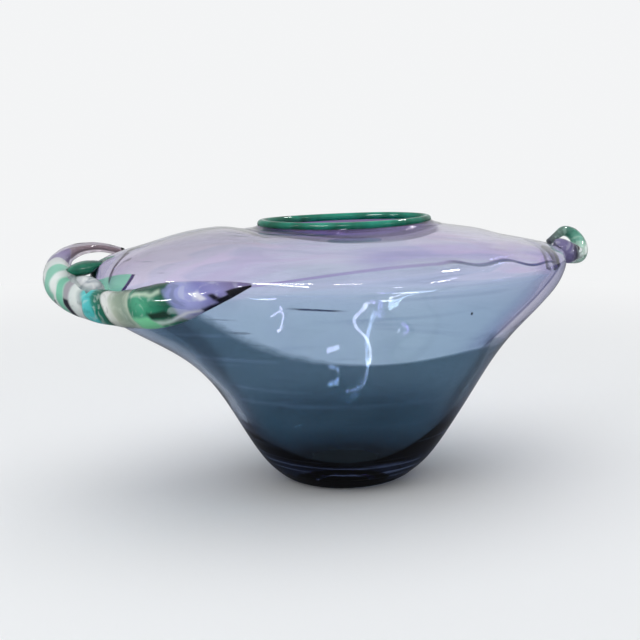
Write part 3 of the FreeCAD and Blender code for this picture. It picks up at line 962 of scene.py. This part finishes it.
right_core.data.materials.append(core_finish("pale_green_core", [
    (0.00, tint(156, 150, 184)), (0.14, tint(136, 130, 168)), (0.20, tint(70, 68, 84)),
    (0.30, tint(214, 226, 220)), (0.44, tint(190, 222, 208)), (0.52, tint(128, 184, 168)),
    (0.66, tint(98, 156, 142)), (0.80, tint(128, 148, 142)), (1.00, tint(120, 116, 126))],
    slant=0.03))
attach(right_core, "root")
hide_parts("right_handle")

# The stage: a plain pale floor that runs out to a pale backdrop, large soft lamps that only light
# the floor, small tubes and windows that are only mirrored in the glass, and the camera.
FLOOR_REACH = 6.0
MATT_TO, BRIGHT_FROM = 0.22, 0.95
BACKDROP = tint(243, 244, 245)
SKY_LIGHT = (0.96, 0.98, 1.0, 1.0)
SKY_STRENGTH = 0.62


def floor_finish():
    """Matt paint near the bowl, as bright as the backdrop further out, and dim in its gloss."""
    paint = Finish(bpy.data.materials.new("pale_floor"))
    place = paint.node("ShaderNodeTexCoord", output="Object")
    distance = paint.node("ShaderNodeVectorMath", {"operation": "LENGTH"}, {0: place},
                          output="Value")
    matt = paint.node("ShaderNodeBsdfPrincipled", {}, {"Base Color": tint(232, 233, 234),
                                                       "Roughness": 0.7})
    bright = paint.node("ShaderNodeEmission", {}, {"Color": BACKDROP, "Strength": 1.0})
    pale = paint.node("ShaderNodeMixShader", {}, {
        0: between(distance, MATT_TO, BRIGHT_FROM), 1: matt, 2: bright})
    mirrored = (paint.node("ShaderNodeLightPath", output="Is Glossy Ray")
                - paint.node("ShaderNodeLightPath", output="Is Transmission Ray"))
    dim = paint.node("ShaderNodeBsdfPrincipled", {}, {"Base Color": tint(96, 98, 104),
                                                      "Roughness": 0.7})
    return paint.shade(surface=paint.node("ShaderNodeMixShader", {}, {0: mirrored, 1: pale, 2: dim}))


def hang_sky():
    """Show the pale backdrop to the camera, also through glass, and light the bowl softly."""
    sky = Finish(bpy.data.worlds.new("studio"))
    seen = sky.node("ShaderNodeBackground", {}, {"Color": BACKDROP})
    lit = sky.node("ShaderNodeBackground", {}, {"Color": SKY_LIGHT, "Strength": SKY_STRENGTH})
    looked_at = sky.node("ShaderNodeMath", {"operation": "MAXIMUM"}, {
        0: sky.node("ShaderNodeLightPath", output="Is Camera Ray"),
        1: sky.node("ShaderNodeLightPath", output="Is Transmission Ray")})
    sky.node("ShaderNodeOutputWorld", {}, {
        "Surface": sky.node("ShaderNodeMixShader", {}, {0: looked_at, 1: lit, 2: seen})})
    bpy.context.scene.world = sky.owner


floor_form = bmesh.new()
bmesh.ops.create_grid(floor_form, x_segments=2, y_segments=2, size=FLOOR_REACH)
floor = finish_form("floor", floor_form)
floor.data.materials.append(floor_finish())
hang_sky()

BOWL_MIDDLE = (0.0, 0.0, 0.12)
LEFT_TIP = (-0.15, -0.03, 0.12)


def lamp(name, start, end, height, power, aim=BOWL_MIDDLE, fill=False):
    """Hang a flat lamp from one end to the other, facing a point.

    A fill lamp lights matt surfaces and isn't mirrored in the glass. The others are only mirrored.
    """
    start, end = Vector(start), Vector(end)
    middle = (start + end) / 2.0
    across = (end - start).normalized()
    facing = (middle - Vector(aim)).normalized()
    upward = facing.cross(across).normalized()
    facing = across.cross(upward)
    light = bpy.data.lights.new(name, "AREA")
    light.shape = "RECTANGLE"
    light.size = (end - start).length
    light.size_y = height
    light.energy = power
    piece = bpy.data.objects.new(name, light)
    piece.location = middle
    piece.rotation_euler = Matrix((across, upward, facing)).transposed().to_euler()
    piece.visible_glossy = not fill
    piece.visible_transmission = not fill
    piece.visible_diffuse = fill
    bpy.context.scene.collection.objects.link(piece)


lamp("top_fill", (-0.8, 0.0, 1.3), (0.8, 0.0, 1.3), 1.6, 10.0, fill=True)
lamp("left_fill", (-1.0, -0.9, 0.9), (-1.4, -0.1, 0.9), 0.9, 3.0, fill=True)
lamp("long_tube", (-0.29, -1.12, 0.50), (-0.53, -0.81, 0.85), 0.030, 3.0)
lamp("bent_tube", (-0.53, -0.81, 0.85), (-0.20, -0.92, 0.86), 0.030, 2.2)
lamp("short_tube", (0.86, -0.78, 0.49), (0.70, -0.94, 0.45), 0.020, 0.6)
lamp("window", (-0.08, -1.15, 0.87), (0.15, -1.15, 0.87), 0.03, 1.6)
lamp("left_window", (-1.05, -0.55, 0.75), (-0.90, -0.80, 0.75), 0.06, 4.0, aim=LEFT_TIP)
lamp("side_window", (0.75, 0.16, 1.17), (0.81, 0.33, 1.10), 0.05, 3.0)

CAMERA_PLACE = (-0.2240, -0.5687, 0.2080)
CAMERA_TURN = radians(20.0)
CAMERA_TILT = radians(10.27)
SENSOR_WIDTH = 36.0
FOCAL_LENGTH = 56.25

camera = bpy.data.objects.new("camera", bpy.data.cameras.new("camera"))
camera.data.sensor_width = SENSOR_WIDTH
camera.data.lens = FOCAL_LENGTH
look = Vector((sin(CAMERA_TURN) * cos(CAMERA_TILT), cos(CAMERA_TURN) * cos(CAMERA_TILT),
               -sin(CAMERA_TILT)))
camera.location = CAMERA_PLACE
camera.rotation_euler = look.to_track_quat("-Z", "Y").to_euler()
bpy.context.scene.collection.objects.link(camera)
bpy.context.scene.camera = camera
bpy.context.scene.view_settings.view_transform = "Standard"
